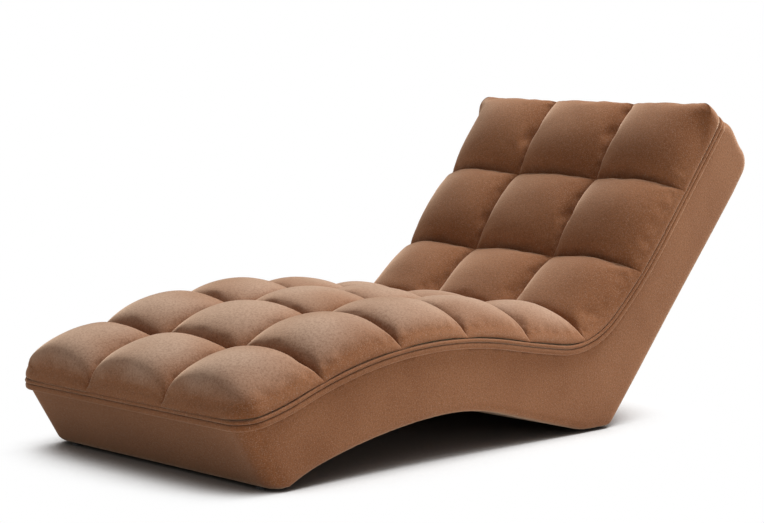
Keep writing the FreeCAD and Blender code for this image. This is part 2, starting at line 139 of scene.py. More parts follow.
class Profile:
    """A side view line of straight and round stretches that run smoothly into each other."""

    def __init__(self, start, heading, stretches):
        self.start = start
        self.heading = math.radians(heading)
        self.stretches = [(length, math.radians(turn)) for length, turn in stretches]
        self.length = sum(length for length, turn in stretches)

    def at(self, along, above=0.0):
        y, z = self.start
        heading = self.heading
        left = along
        last = len(self.stretches) - 1
        for index, (length, turn) in enumerate(self.stretches):
            run = left if left <= length or index == last else length
            bend = turn * run / length
            chord = run if abs(bend) < 1e-9 else run * math.sin(bend / 2) / (bend / 2)
            y += chord * math.cos(heading + bend / 2)
            z += chord * math.sin(heading + bend / 2)
            heading += bend
            left -= run
            if left <= 0:
                break
        return y - above * math.sin(heading), z + above * math.cos(heading), heading

    def point(self, along, above=0.0, x=0.0):
        y, z, heading = self.at(along, above)
        return Vector((x, y, z))


WELT = Profile((-SHIFT, 0.163), 5.6, (
    (0.172, 14.5), (0.660, -31.0), (0.180, 2.5),
    (0.198, 48.0), (0.264, 10.5), (BACK_RUN, 0.0)))
HEAD = WELT.length
CREASE = sum(SEAT_ROWS)


def arch_line():
    """Lower edge between the foot and the rear, level with the floor line at both its ends."""
    start = (ARCH_START_Y - SHIFT, FLOOR_GAP)
    stretches = [(ARCH_FOOT_RADIUS * math.radians(ARCH_FOOT_SLOPE), ARCH_FOOT_SLOPE),
                 (0.098, -11.6), (0.344, -11.6), (0.238, -18.6)]
    rise = Profile(start, 0.0, stretches)
    height, slope = rise.at(rise.length)[1:]
    drop = ARCH_END_RADIUS * (1 - math.cos(slope))
    fall = (height - FLOOR_GAP - drop) / math.sin(-slope)
    end = [(fall, 0.0), (ARCH_END_RADIUS * -slope, math.degrees(-slope))]
    return Profile(start, 0.0, stretches + end)


def new_object(name, bm):
    mesh = bpy.data.meshes.new(name)
    bm.normal_update()
    bm.to_mesh(mesh)
    bm.free()
    mesh.shade_smooth()
    obj = bpy.data.objects.new(name, mesh)
    bpy.context.scene.collection.objects.link(obj)
    return obj


def apply_modifiers(obj):
    """The object's mesh becomes what its modifiers show."""
    shown = obj.evaluated_get(bpy.context.evaluated_depsgraph_get())
    mesh = bpy.data.meshes.new_from_object(shown)
    old = obj.data
    obj.modifiers.clear()
    obj.data = mesh
    bpy.data.meshes.remove(old)
    mesh.shade_smooth()


def subdivided(obj, levels=1):
    modifier = obj.modifiers.new("smooth", "SUBSURF")
    modifier.levels = levels
    modifier.render_levels = levels
    apply_modifiers(obj)


# Quilted pads

def spread(count):
    """Steps from 0 to 1 that lie closer together at both ends."""
    steps = []
    for i in range(count + 1):
        steps.append(i / count - CELL_PINCH * math.sin(math.tau * i / count) / math.tau)
    return steps


def cell_lines(stops):
    """(place, cell, -1 to 1 within the cell) of every line of a grid over the cells."""
    lines = []
    for cell, (low, high) in enumerate(zip(stops, stops[1:])):
        for t in spread(CELL_STEPS)[0 if cell == 0 else 1:]:
            lines.append((low + (high - low) * t, cell, 2 * t - 1))
    return lines


def half_width(along):
    """Half of the pad's width at a distance along, with its rounded corners."""
    for from_end, corner in ((along, FOOT_CORNER), (HEAD - along, HEAD_CORNER)):
        radius = corner - PAD_INSET
        inside = from_end - PAD_INSET
        if inside < radius:
            return HALF_PAD - corner + math.sqrt(max(radius ** 2 - (radius - inside) ** 2, 0.0))
    return HALF_PAD - PAD_INSET


def outward(along, across):
    """Direction out of the pad's nearest border, as (along, across)."""
    ends = ((along, FOOT_CORNER, -1), (HEAD - along, HEAD_CORNER, 1))
    for from_end, corner, sign in ends:
        if from_end < corner and abs(across) > HALF_PAD - corner - 1e-6:
            out = (corner - from_end, abs(across) - HALF_PAD + corner)
            size = math.hypot(*out) or 1.0
            return sign * out[0] / size, math.copysign(out[1] / size, across)
        if from_end < min(HALF_PAD - abs(across), corner):
            return float(sign), 0.0
    return 0.0, math.copysign(1.0, across)


def dome(t, power, flatness):
    """1 in the middle of a cell and 0 at both its ends, t = -1 and t = 1."""
    return max(1 - abs(t) ** power, 0.0) ** flatness


def border_gap(along, across, at_foot, at_head):
    """Distance from a place on the pad to its nearest outer border."""
    gaps = [half_width(along) - abs(across)]
    if at_foot:
        gaps.append(along - PAD_INSET)
    if at_head:
        gaps.append(HEAD - PAD_INSET - along)
    return max(min(gaps), 0.0)


def puff_height(u, v, row, column, crowns, is_foot, is_head, edge):
    """Height of the pad in one of its puffs, and how near the crown and a seam it is."""
    base = CROSSING + (SEAM - CROSSING) * (1 - u * u * v * v)
    across = between = dome(v, 2.1, 0.5)
    side = v * (column - (COLUMNS - 1) / 2)
    if side > 0:
        end_height = SEAM_END
        if is_foot and u < 0:
            end_height = edge
        if is_head and u > 0:
            end_height = HEAD_EDGE_CORNER
        border = end_height + (edge - end_height) * dome(u, 2.4, 0.5)
        base += (border - base) * side ** 2
        across = dome(v, 2.0, 0.68)
        between = 1.0
    lengthwise = dome(u, 2.1, 0.5)
    between *= 1.0 if (is_foot and u < 0) or (is_head and u > 0) else lengthwise
    if is_foot and u < 0:
        border = SEAM_END + (edge - SEAM_END) * dome(v if side <= 0 else 0, 2.4, 0.5)
        base += (border - base) * abs(u) ** 4
        lengthwise = dome(u, 2.5, 0.42)
    if is_head and u > 0:
        if side > 0:
            border = HEAD_EDGE + (HEAD_EDGE_CORNER - HEAD_EDGE) * v * v
        else:
            border = HEAD_EDGE_SEAM + (HEAD_EDGE - HEAD_EDGE_SEAM) * dome(v, 2.4, 0.5)
        base += (border - base) * u ** 3
        lengthwise = dome(u, 2.4, 0.52)
    crown = across * lengthwise
    return base + (crowns[row] - SEAM) * crown, crown, 1 - between


def tuck_at(along):
    """How far the pad's border leans in at a distance along: less towards the full head end."""
    share = min(max((HEAD - along) / TUCK_HEAD_REACH, 0.0), 1.0)
    return TUCK * share * share * (3 - 2 * share)


def pull_folds(u, v, row, column):
    """Soft folds that run out of the seam crossings."""
    reach = math.hypot(1 - abs(u), 1 - abs(v))
    way = math.atan2(1 - abs(v), 1 - abs(u))
    crossing = (row * 5.1 + math.copysign(1, u), column * 3.3 + math.copysign(1, v), 0.5)
    share = 0.6 + 0.8 * noise.noise(Vector(crossing))
    fading = math.exp(-((reach - FOLD_REACH) / FOLD_SPREAD) ** 2)
    return FOLD_HEIGHT * share * math.cos(FOLDS_PER_TURN * way) * fading


def quilt_mesh(begin, rows, crowns, edge, wear_and_highlight, at_foot, at_head):
    """Closed pad of crowned puffs, as a bmesh with its flat coordinates in vertex layers."""
    stops = [begin]
    for row in rows:
        stops.append(stops[-1] + row)
    if at_foot:
        stops[0] += PAD_INSET
    if at_head:
        stops[-1] -= PAD_INSET
    wide = HALF_PAD - PAD_INSET
    lengths = cell_lines(stops)
    widths = cell_lines([-wide + 2 * wide * i / COLUMNS for i in range(COLUMNS + 1)])
    seam_x = wide / COLUMNS

    bm = bmesh.new()
    bmesh.ops.create_grid(bm, x_segments=len(widths) - 1, y_segments=len(lengths) - 1, size=0.5)
    names = ("along", "across", "above", "wear_and_highlight", "seam", "held")
    layers = {name: bm.verts.layers.float.new(name) for name in names}

    for vert in bm.verts:
        x, column, v = widths[round((vert.co.x + 0.5) * (len(widths) - 1))]
        along, row, u = lengths[round((vert.co.y + 0.5) * (len(lengths) - 1))]
        is_foot = at_foot and row == 0
        is_head = at_head and row == len(rows) - 1
        height, crown, seam_shade_share = puff_height(
            u, v, row, column, crowns, is_foot, is_head, edge)
        if abs(x) > seam_x:
            share = (abs(x) - seam_x) / (wide - seam_x)
            x = math.copysign(seam_x + share * (half_width(along) - seam_x), x)
        soft = noise.noise(Vector((x * 9, along * 9, row * 3.7)))
        height += UNEVEN * soft * crown
        if not ((is_foot and u < 0) or (is_head and u > 0)):
            height += pull_folds(u, v, row, column)
        gap = border_gap(along, x, at_foot, at_head)
        tuck = tuck_at(along) * max(1 - gap / TUCK_REACH, 0) ** 2
        out_along, out_across = outward(along, x) if tuck else (0, 0)
        vert.co = Vector((-out_across * tuck, -out_along * tuck, 0))
        vert[layers["along"]] = along
        vert[layers["across"]] = x
        vert[layers["above"]] = height
        # Painted highlight, partly wear: the crowns' colour is made paler, most where the puff is
        # fullest
        vert[layers["wear_and_highlight"]] = wear_and_highlight * crown ** 0.7 * (1 + 0.5 * soft)
        # Painted shade: the colour darkens towards the seams between puffs
        vert[layers["seam"]] = seam_shade_share
        on_seam = abs(u) > 1 - 1e-6 or abs(v) > 1 - 1e-6
        vert[layers["held"]] = 1.0 if on_seam else 0.0

    tops = {}
    rim = [line for line in bm.edges if line.is_boundary]
    for step in range(1, WALL_STEPS + 1):
        made = bmesh.ops.extrude_edge_only(bm, edges=rim)["geom"]
        rim = [item for item in made if isinstance(item, bmesh.types.BMEdge)]
        for vert in (item for item in made if isinstance(item, bmesh.types.BMVert)):
            along = vert[layers["along"]]
            across = vert[layers["across"]]
            key = (round(along, 6), round(across, 6))
            if step == 1:
                tops[key] = (vert[layers["above"]], along, across)
            top, first_along, first_across = tops[key]
            fall = step / WALL_STEPS
            out_along, out_across = outward(first_along, first_across)
            at_crease = abs(first_along - CREASE) < 1e-6
            swell = WALL_SWELL * math.sin(math.pi * fall) - tuck_at(first_along) * (1 - fall) ** 1.5
            if at_crease:
                swell = 0.0
            vert[layers["above"]] = top + (PAD_BASE - top) * fall
            vert[layers["held"]] = 1.0
            vert.co = Vector((out_across * swell, out_along * swell, 0.0))
            vert[layers["wear_and_highlight"]] = 0.0
            vert[layers["seam"]] = 0.2
    return bm, layers, rim


def close_under(bm, layers, rim):
    """Close the pad underneath with strips from side to side and a face at each end."""
    along = layers["along"]
    sides = [line for line in rim if abs(line.verts[0][along] - line.verts[1][along]) > 1e-7]
    bmesh.ops.bridge_loops(bm, edges=sides)
    bmesh.ops.holes_fill(bm, edges=[line for line in bm.edges if line.is_boundary], sides=0)
    bmesh.ops.recalc_face_normals(bm, faces=bm.faces)


def inflate(obj, held):
    """Swell the cloth between its stitches, and keep each point within a short way of its start."""
    group = obj.vertex_groups.new(name="stitched")
    group.add([index for index, value in enumerate(held) if value > 0.5], 1.0, "REPLACE")
    modifier = obj.modifiers.new("cloth", "CLOTH")
    settings = modifier.settings
    settings.quality = 6
    settings.mass = 0.3
    settings.air_damping = 2.0
    settings.tension_stiffness = 20
    settings.compression_stiffness = 20
    settings.shear_stiffness = 8
    settings.bending_stiffness = 1.2
    settings.vertex_group_mass = group.name
    settings.shrink_min = -0.012
    settings.use_pressure = True
    settings.uniform_pressure_force = PRESSURE
    settings.effector_weights.gravity = 0
    modifier.collision_settings.use_collision = False
    scene = bpy.context.scene
    modifier.point_cache.frame_start = 1
    modifier.point_cache.frame_end = LAST_FRAME
    for frame_number in range(1, LAST_FRAME + 1):
        scene.frame_set(frame_number)
    shown = obj.evaluated_get(bpy.context.evaluated_depsgraph_get())
    moved = [vert.co.copy() for vert in shown.data.vertices]
    scene.frame_set(1)
    obj.modifiers.clear()
    obj.vertex_groups.clear()
    for vert, place in zip(obj.data.vertices, moved):
        way = place - vert.co
        if way.length > MOST_SWELL:
            way *= MOST_SWELL / way.length
        vert.co += way


def quilted_pad(name, begin, rows, crowns, edge, wear_and_highlight, at_foot, at_head):
    """One finished pad: crowned puffs, bent along the welt line, then swollen."""
    bm, layers, rim = quilt_mesh(begin, rows, crowns, edge, wear_and_highlight, at_foot, at_head)
    close_under(bm, layers, rim)
    held = []
    for vert in bm.verts:
        along = vert[layers["along"]] + vert.co.y
        vert.co = WELT.point(along, vert[layers["above"]], vert[layers["across"]] + vert.co.x)
        held.append(vert[layers["held"]])
    obj = new_object(name, bm)
    inflate(obj, held)
    subdivided(obj)
    return obj


# Trim round the pad

def outline_points():
    """(along, across, out along, out across) all round the pad's outline, evenly spaced."""
    points = []

    def straight(start, end, out):
        count = max(2, round(math.dist(start, end) / TRIM_STEP))
        for i in range(count):
            t = i / count
            along = start[0] + (end[0] - start[0]) * t
            across = start[1] + (end[1] - start[1]) * t
            points.append((along, across, *out))

    def corner(centre, radius, first_angle):
        for i in range(TRIM_CORNER_STEPS):
            angle = math.radians(first_angle + 90 * i / TRIM_CORNER_STEPS)
            out = (math.cos(angle), math.sin(angle))
            points.append((centre[0] + radius * out[0], centre[1] + radius * out[1], *out))

    foot, head = FOOT_CORNER, HEAD_CORNER
    straight((foot, -HALF_PAD), (HEAD - head, -HALF_PAD), (0, -1))
    corner((HEAD - head, -HALF_PAD + head), head, -90)
    straight((HEAD, -HALF_PAD + head), (HEAD, HALF_PAD - head), (1, 0))
    corner((HEAD - head, HALF_PAD - head), head, 0)
    straight((HEAD - head, HALF_PAD), (foot, HALF_PAD), (0, 1))
    corner((foot, HALF_PAD - foot), foot, 90)
    straight((0, HALF_PAD - foot), (0, -HALF_PAD + foot), (-1, 0))
    corner((foot, -HALF_PAD + foot), foot, 180)
    return points


def trim_roll(name, low, high):
    """Soft roll that runs all round the pad's outline, between two heights above the welt line."""
    path = outline_points()
    bm = bmesh.new()
    bmesh.ops.create_grid(bm, x_segments=TRIM_ROUND_STEPS, y_segments=len(path), size=0.5)
    middle = (low + high) / 2
    half = (high - low) / 2
    for vert in bm.verts:
        place = round((vert.co.y + 0.5) * len(path)) % len(path)
        turn = math.tau * (vert.co.x + 0.5)
        along, across, out_along, out_across = path[place]
        c, s = math.cos(turn), math.sin(turn)
        bulge = math.copysign(abs(c) ** 0.65, c)
        rise = math.copysign(abs(s) ** 0.75, s)
        depth = -TRIM_THICKNESS / 2 * (1 - bulge)
        vert.co = WELT.point(
            along + out_along * depth, middle + half * rise, across + out_across * depth)
    bmesh.ops.remove_doubles(bm, verts=bm.verts, dist=1e-6)
    bmesh.ops.recalc_face_normals(bm, faces=bm.faces)
    obj = new_object(name, bm)
    subdivided(obj)
    return obj


# Shell cover

def meeting(a, a_way, b, b_way):
    """Where two lines of the side view cross."""
    across = a_way.y * b_way.z - a_way.z * b_way.y
    offset = b - a
    return a + a_way * ((offset.y * b_way.z - offset.z * b_way.y) / across)


def rounded(before, corner, after, radius, count=9):
    """Points of the arc that rounds a corner of the side view."""
    back = (before - corner).normalized()
    onward = (after - corner).normalized()
    half_angle = back.angle(onward) / 2
    run = radius / math.tan(half_angle)
    centre = corner + (back + onward).normalized() * (radius / math.sin(half_angle))
    first = corner + back * run - centre
    last = corner + onward * run - centre
    return [centre + first.slerp(last, i / (count - 1)) * radius for i in range(count)]


def shell_outline(front, top):
    """Side view outline, with the foot face moved out by front and its top edge at a height."""
    arch = arch_line()
    toe = Vector((0, FOOT_BASE_Y - SHIFT - front, FLOOR_GAP))
    slope = math.radians(REAR_SLOPE)
    rear_up = Vector((0, math.cos(slope), math.sin(slope)))
    rear_point = WELT.point(HEAD - BACK_RUN, -BACK_DEPTH)
    heel = meeting(toe, Vector((0, 1, 0)), rear_point, rear_up)
    head_top = WELT.point(HEAD - HEAD_SETBACK, top)
    head_rear = meeting(head_top, WELT.point(HEAD, -1) - WELT.point(HEAD), rear_point, rear_up)
    points = [WELT.point(FOOT_SETBACK, top) - Vector((0, front, 0)), toe]
    points += [arch.point(arch.length * i / ARCH_STEPS) for i in range(ARCH_STEPS + 1)]
    points += rounded(toe, heel, head_rear, HEEL_ROUNDING)
    points += rounded(heel, head_rear, head_top, HEAD_REAR_ROUNDING)
    end_above = (points[-1] - WELT.point(HEAD)).dot(WELT.point(HEAD, 1) - WELT.point(HEAD))
    for i in range(1, HEAD_BULGE_STEPS):
        t = i / HEAD_BULGE_STEPS
        bulge = HEAD_BULGE * t * t * (1 - t) * 27 / 4
        above = end_above + (SKIN_TOP - end_above) * t
        points.append(WELT.point(HEAD - HEAD_SETBACK + bulge, above))
    reach = HEAD - HEAD_SETBACK - FOOT_SETBACK
    for i in range(TOP_STEPS):
        points.append(WELT.point(HEAD - HEAD_SETBACK - reach * i / TOP_STEPS, top))
    return points


def prism(outline, half):
    """Closed solid between two sides with the same outline."""
    bm = bmesh.new()
    face = bm.faces.new([bm.verts.new((-half, point.y, point.z)) for point in outline])
    made = bmesh.ops.extrude_face_region(bm, geom=[face])["geom"]
    far_side = [item for item in made if isinstance(item, bmesh.types.BMVert)]
    bmesh.ops.translate(bm, vec=(2 * half, 0, 0), verts=far_side)
    bmesh.ops.recalc_face_normals(bm, faces=bm.faces)
    return bm


def top_strip():
    """The shell's open top between its foot and head end, as a tree to look up near points."""
    bm = bmesh.new()
    reach = HEAD - HEAD_SETBACK - FOOT_SETBACK
    rows = []
    for i in range(STRIP_STEPS + 1):
        along = FOOT_SETBACK + reach * i / STRIP_STEPS
        rows.append([bm.verts.new(WELT.point(along, SKIN_TOP, x)) for x in (-1, 1)])
    for (a, b), (c, d) in zip(rows, rows[1:]):
        bm.faces.new((a, b, d, c))
    bm.normal_update()
    tree = BVHTree.FromBMesh(bm)
    bm.free()
    return tree


def round_meeting(first, second, radius):
    """Distance and direction to two surfaces that meet in a rounded edge."""
    a = first[0] + radius
    b = second[0] + radius
    if max(a, b) <= 0:
        return first if a > b else second
    reach = math.hypot(max(a, 0), max(b, 0))
    way = (first[1] * max(a, 0) + second[1] * max(b, 0)) / reach
    return reach - radius, way


def shell_cover():
    """Upholstered skin of the shell, open under the pad."""
    obj = new_object("shell_cover", prism(shell_outline(0, SKIN_TOP), HALF_SHELL))
    modifier = obj.modifiers.new("even", "REMESH")
    modifier.mode = "VOXEL"
    modifier.voxel_size = SKIN_VOXEL
    apply_modifiers(obj)

    rest = prism(shell_outline(0.2, 0.05), 1.0)
    rest_tree = BVHTree.FromBMesh(rest)
    rest.free()
    top_tree = top_strip()
    foot_top = WELT.point(FOOT_SETBACK, SKIN_TOP)
    foot_down = Vector((0, FOOT_BASE_Y - SHIFT, FLOOR_GAP)) - foot_top
    foot_out = Vector((0, foot_down.z, -foot_down.y)).normalized()
    head_end = WELT.point(HEAD)
    head_end_out = (head_end - WELT.point(HEAD - 0.01)).normalized()

    def from_shell(point):
        """Distance from the rounded shell, and the direction away from it."""
        side = (abs(point.x) - HALF_SHELL, Vector((math.copysign(1, point.x), 0, 0)))
        foot = ((point - foot_top).dot(foot_out), foot_out)
        near, normal, index, distance = rest_tree.find_nearest(point)
        gap = distance if (point - near).dot(normal) > 0 else -distance
        rest_way = (point - near) / gap if distance > 1e-7 else normal
        from_head = (head_end - point).dot(head_end_out)
        near_head = min(max(1 - from_head / HEAD_ROUNDING_REACH, 0), 1)
        radius = RIM_ROUNDING + (HEAD_ROUNDING - RIM_ROUNDING) * near_head
        return round_meeting(round_meeting(side, foot, SHELL_CORNER), (gap, rest_way), radius)

    bm = bmesh.new()
    bm.from_mesh(obj.data)
    bm.normal_update()
    tops = []
    for face in bm.faces:
        near, normal, index, distance = top_tree.find_nearest(face.calc_center_median())
        if distance < TOP_DEPTH and face.normal.dot(normal) > 0.5:
            tops.append(face)
    bmesh.ops.delete(bm, geom=tops, context="FACES")
    for vert in bm.verts:
        for step in range(4):
            gap, way = from_shell(vert.co)
            vert.co -= way * (gap / max(way.length_squared, 0.2))
        if vert.is_boundary:
            near = top_tree.find_nearest(vert.co)[0]
            vert.co = Vector((vert.co.x, near.y, near.z))
    bm.normal_update()
    for vert in bm.verts:
        vert.co += vert.normal * (noise.noise(vert.co * 4.5) * SKIN_UNEVEN)
    bm.to_mesh(obj.data)
    bm.free()
    modifier = obj.modifiers.new("cloth", "SOLIDIFY")
    modifier.thickness = SKIN
    modifier.offset = -1
    apply_modifiers(obj)
    return obj


# Foam

def foam_slab(name, node):
    """Cut foam slab on the deck, a little rounded by its own softness."""
    obj = bpy.data.objects.new(name, frame["nodes"][node].data.copy())
    bpy.context.scene.collection.objects.link(obj)
    modifier = obj.modifiers.new("even", "REMESH")
    modifier.mode = "VOXEL"
    modifier.voxel_size = FOAM_VOXEL
    modifier = obj.modifiers.new("soft", "SMOOTH")
    modifier.iterations = 3
    modifier.factor = 0.5
    apply_modifiers(obj)
    return obj


# Materials

class Nodes:
    """Short calls for a material's node tree."""

    def __init__(self, name):
        self.material = bpy.data.materials.new(name)
        self.material.use_nodes = True
        self.tree = self.material.node_tree
        self.tree.nodes.clear()
        self.output = self.tree.nodes.new("ShaderNodeOutputMaterial")
        self.shader = self.tree.nodes.new("ShaderNodeBsdfPrincipled")
        self.link(self.shader.outputs[0], self.output.inputs["Surface"])
        self.place = self.tree.nodes.new("ShaderNodeTexCoord").outputs["Object"]

    def link(self, output, target):
        self.tree.links.new(output, target)

    def give(self, socket, value):
        """Link a socket to another node's output, or set it to a plain value."""
        if isinstance(value, bpy.types.NodeSocket):
            self.link(value, socket)
        else:
            socket.default_value = value

    def scaled(self, scale):
        node = self.tree.nodes.new("ShaderNodeMapping")
        node.inputs["Scale"].default_value = scale
        self.link(self.place, node.inputs["Vector"])
        return node.outputs["Vector"]

    def noise(self, scale, detail=3.0, roughness=0.5, stretch=(1, 1, 1)):
        node = self.tree.nodes.new("ShaderNodeTexNoise")
        node.inputs["Scale"].default_value = scale
        node.inputs["Detail"].default_value = detail
        node.inputs["Roughness"].default_value = roughness
        self.link(self.scaled(stretch), node.inputs["Vector"])
        return node.outputs["Fac"]

    def ramp(self, value, stops):
        node = self.tree.nodes.new("ShaderNodeValToRGB")
        node.color_ramp.interpolation = "EASE"
        for place, colour in stops[2:]:
            node.color_ramp.elements.new(place)
        for element, (place, colour) in zip(node.color_ramp.elements, stops):
            element.position = place
            element.color = colour if hasattr(colour, "__len__") else (colour, colour, colour, 1)
        self.link(value, node.inputs["Fac"])
        return node.outputs["Color"]

    def mix(self, amount, first, second):
        node = self.tree.nodes.new("ShaderNodeMix")
        node.data_type = "RGBA"
        self.give(node.inputs[0], amount)
        self.give(node.inputs[6], first)
        self.give(node.inputs[7], second)
        return node.outputs[2]

    def math(self, kind, first, second):
        node = self.tree.nodes.new("ShaderNodeMath")
        node.operation = kind
        for socket, value in zip(node.inputs, (first, second)):
            self.give(socket, value)
        return node.outputs[0]

    def attribute(self, name):
        node = self.tree.nodes.new("ShaderNodeAttribute")
        node.attribute_name = name
        return node.outputs["Fac"]

    def bump(self, height, strength, distance, before=None):
        node = self.tree.nodes.new("ShaderNodeBump")
        node.inputs["Strength"].default_value = strength
        node.inputs["Distance"].default_value = distance
        self.link(height, node.inputs["Height"])
        if before is not None:
            self.link(before, node.inputs["Normal"])
        return node.outputs["Normal"]

    def set(self, **values):
        for name, value in values.items():
            self.give(self.shader.inputs[name.replace("_", " ")], value)


VELOUR_DARK = (0.215, 0.080, 0.031, 1)
VELOUR_LIGHT = (0.275, 0.114, 0.050, 1)
# Pale fibre tips, also the colour of the painted highlight on the crowns, which is partly wear
VELOUR_PALE_TIPS_AND_HIGHLIGHT = (0.52, 0.38, 0.29, 1)
VELOUR_ROOTS = (0.12, 0.045, 0.018, 1)


def velour(name):
    """Short pile: grain, patches where the pile lies over, a soft sheen, paler crowns that are
    partly wear and partly painted highlight, and painted shade along the seams.
    """
    n = Nodes(name)
    streaks = n.noise(3.2, 3, 0.5, (1.0, 1.7, 1.2))
    patches = n.noise(9.0, 3, 0.55)
    pile = n.noise(420, 2, 0.6)
    grain = n.noise(190, 3, 0.65)
    colour = n.mix(n.ramp(streaks, [(0.3, 0.0), (0.7, 1.0)]), VELOUR_DARK, VELOUR_LIGHT)
    colour = n.mix(n.ramp(patches, [(0.4, 0.0), (0.75, 0.4)]), colour, VELOUR_LIGHT)
    # Painted highlight, partly wear: paler colour on the crowns of the puffs
    wear_and_highlight_share = n.ramp(n.attribute("wear_and_highlight"), [(0.05, 0.0), (1.0, 0.75)])
    colour = n.mix(wear_and_highlight_share, colour, VELOUR_PALE_TIPS_AND_HIGHLIGHT)
    # Painted shade along the seams between puffs
    colour = n.mix(n.ramp(n.attribute("seam"), [(0.45, 0.0), (1.0, 0.5)]), colour, VELOUR_DARK)
    colour = n.mix(n.ramp(grain, [(0.30, 0.42), (0.62, 0.0)]), colour, VELOUR_ROOTS)
    colour = n.mix(n.ramp(pile, [(0.50, 0.0), (0.72, 0.30)]), colour, VELOUR_PALE_TIPS_AND_HIGHLIGHT)
    n.set(Base_Color=colour, Roughness=n.ramp(grain, [(0.2, 0.86), (0.8, 1.0)]))
    n.set(Sheen_Weight=0.62, Sheen_Roughness=0.45, Sheen_Tint=(1.0, 0.74, 0.54, 1))
    n.set(Specular_IOR_Level=0.04)
    coarse = n.bump(grain, 0.45, 0.0012)
    n.set(Normal=n.bump(pile, 0.4, 0.0006, coarse))
    return n.material


def plywood(name):
    """Birch plywood: long faint grain over thin glued layers."""
    n = Nodes(name)
    grain = n.noise(9, 6, 0.6, (9, 0.6, 9))
    layers = n.noise(420, 1, 0.4, (1, 0.02, 1))
    pale, deep, glue = (0.68, 0.50, 0.29, 1), (0.50, 0.33, 0.17, 1), (0.30, 0.17, 0.08, 1)
    colour = n.mix(n.ramp(grain, [(0.3, 0.0), (0.7, 1.0)]), deep, pale)
    colour = n.mix(n.ramp(layers, [(0.45, 0.25), (0.6, 0.0)]), colour, glue)
    n.set(Base_Color=colour, Roughness=n.ramp(grain, [(0.2, 0.5), (0.8, 0.7)]),
          Normal=n.bump(grain, 0.2, 0.0005))
    return n.material


def timber(name):
    """Planed softwood with growth rings along its length."""
    n = Nodes(name)
    rings = n.noise(16, 4, 0.55, (0.25, 5, 5))
    fibres = n.noise(180, 3, 0.6, (0.06, 1, 1))
    pale, deep, fibre = (0.76, 0.58, 0.34, 1), (0.62, 0.42, 0.20, 1), (0.42, 0.25, 0.11, 1)
    colour = n.mix(n.ramp(rings, [(0.35, 0.0), (0.62, 1.0)]), deep, pale)
    colour = n.mix(n.ramp(fibres, [(0.4, 0.18), (0.6, 0.0)]), colour, fibre)
    n.set(Base_Color=colour, Roughness=n.ramp(fibres, [(0.2, 0.55), (0.8, 0.75)]),
          Normal=n.bump(fibres, 0.25, 0.0005))
    return n.material


def screw_steel(name):
    """Yellow zinc on steel, with fine turning marks."""
    n = Nodes(name)
    scratches = n.noise(900, 2, 0.5, (0.1, 1, 1))
    tint = n.noise(120, 2)
    yellow, pale = (0.50, 0.44, 0.30, 1), (0.66, 0.62, 0.50, 1)
    colour = n.mix(n.ramp(tint, [(0.3, 0.0), (0.7, 1.0)]), yellow, pale)
    n.set(Base_Color=colour, Metallic=1.0, Roughness=n.ramp(scratches, [(0.2, 0.28), (0.8, 0.46)]),
          Normal=n.bump(scratches, 0.15, 0.0001))
    return n.material


def glide_plastic(name):
    """Black moulded plastic with scuffs from the floor."""
    n = Nodes(name)
    grain = n.noise(1400, 2, 0.5)
    scuffs = n.noise(160, 4, 0.6)
    black, scuffed = (0.018, 0.018, 0.019, 1), (0.07, 0.068, 0.065, 1)
    colour = n.mix(n.ramp(scuffs, [(0.45, 0.0), (0.75, 0.5)]), black, scuffed)
    n.set(Base_Color=colour, Roughness=n.ramp(scuffs, [(0.3, 0.42), (0.8, 0.62)]),
          Normal=n.bump(grain, 0.3, 0.0001))
    return n.material


def foam(name):
    """Open-cell foam: fine pores in a pale, slightly yellowed block."""
    n = Nodes(name)
    node = n.tree.nodes.new("ShaderNodeTexVoronoi")
    node.inputs["Scale"].default_value = 650
    n.link(n.place, node.inputs["Vector"])
    pores = node.outputs["Distance"]
    tint = n.noise(7, 3)
    aged, pale, pore = (0.72, 0.62, 0.38, 1), (0.84, 0.78, 0.58, 1), (0.45, 0.36, 0.18, 1)
    colour = n.mix(n.ramp(tint, [(0.3, 0.0), (0.7, 1.0)]), aged, pale)
    colour = n.mix(n.ramp(pores, [(0.1, 0.35), (0.4, 0.0)]), colour, pore)
    n.set(Base_Color=colour, Roughness=n.ramp(pores, [(0.1, 0.85), (0.6, 1.0)]),
          Normal=n.bump(pores, 0.5, 0.0006))
    return n.material


pad_velour = velour("pad_velour")
shell_velour = velour("shell_velour")
foam_material = foam("foam")
by_slot = {
    "plywood": plywood("plywood"),
    "timber": timber("timber"),
    "screw_steel": screw_steel("screw_steel"),
    "glide_plastic": glide_plastic("glide_plastic"),
}


def finish_piece(obj, material, nodes):
    """Give a piece its material, hide the solids it stands for and hang it on the root body."""
    obj.data.materials.clear()
    obj.data.materials.append(material)
    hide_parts(*nodes)
    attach(obj, "root")


# The seat's crowns are painted much paler than the back's: painted highlight, partly wear
seat = quilted_pad("seat_quilt", 0.0, SEAT_ROWS, SEAT_CROWNS, SEAT_EDGE, wear_and_highlight=0.8, at_foot=True,
                   at_head=False)
finish_piece(seat, pad_velour, ["seat_pad"])
back = quilted_pad("back_quilt", CREASE, BACK_ROWS, BACK_CROWNS, BACK_EDGE, wear_and_highlight=0.12, at_foot=False,
                   at_head=True)
finish_piece(back, pad_velour, ["back_pad"])
lip = trim_roll("lip_roll", -LIP, 0.0)
finish_piece(lip, pad_velour, ["pad_lip"])
band = trim_roll("band_roll", SHELL_TOP, -LIP)
finish_piece(band, shell_velour, ["welt_band"])
covers = []
for side in ("left", "right", "foot", "rear", "arch"):
    covers += [side + "_cover", side + "_padding"]
finish_piece(shell_cover(), shell_velour, covers)
for place in ("seat", "back"):
    slab = foam_slab(place + "_foam_slab", place + "_foam")
    finish_piece(slab, foam_material, [place + "_foam"])

slots = {part["node"]: part["material_slot"] for part in frame["record"]["subparts"]}
for name, obj in frame["nodes"].items():
    if slots[name] in by_slot:
        obj.data.materials.clear()
        obj.data.materials.append(by_slot[slots[name]])


# Floor, light and camera

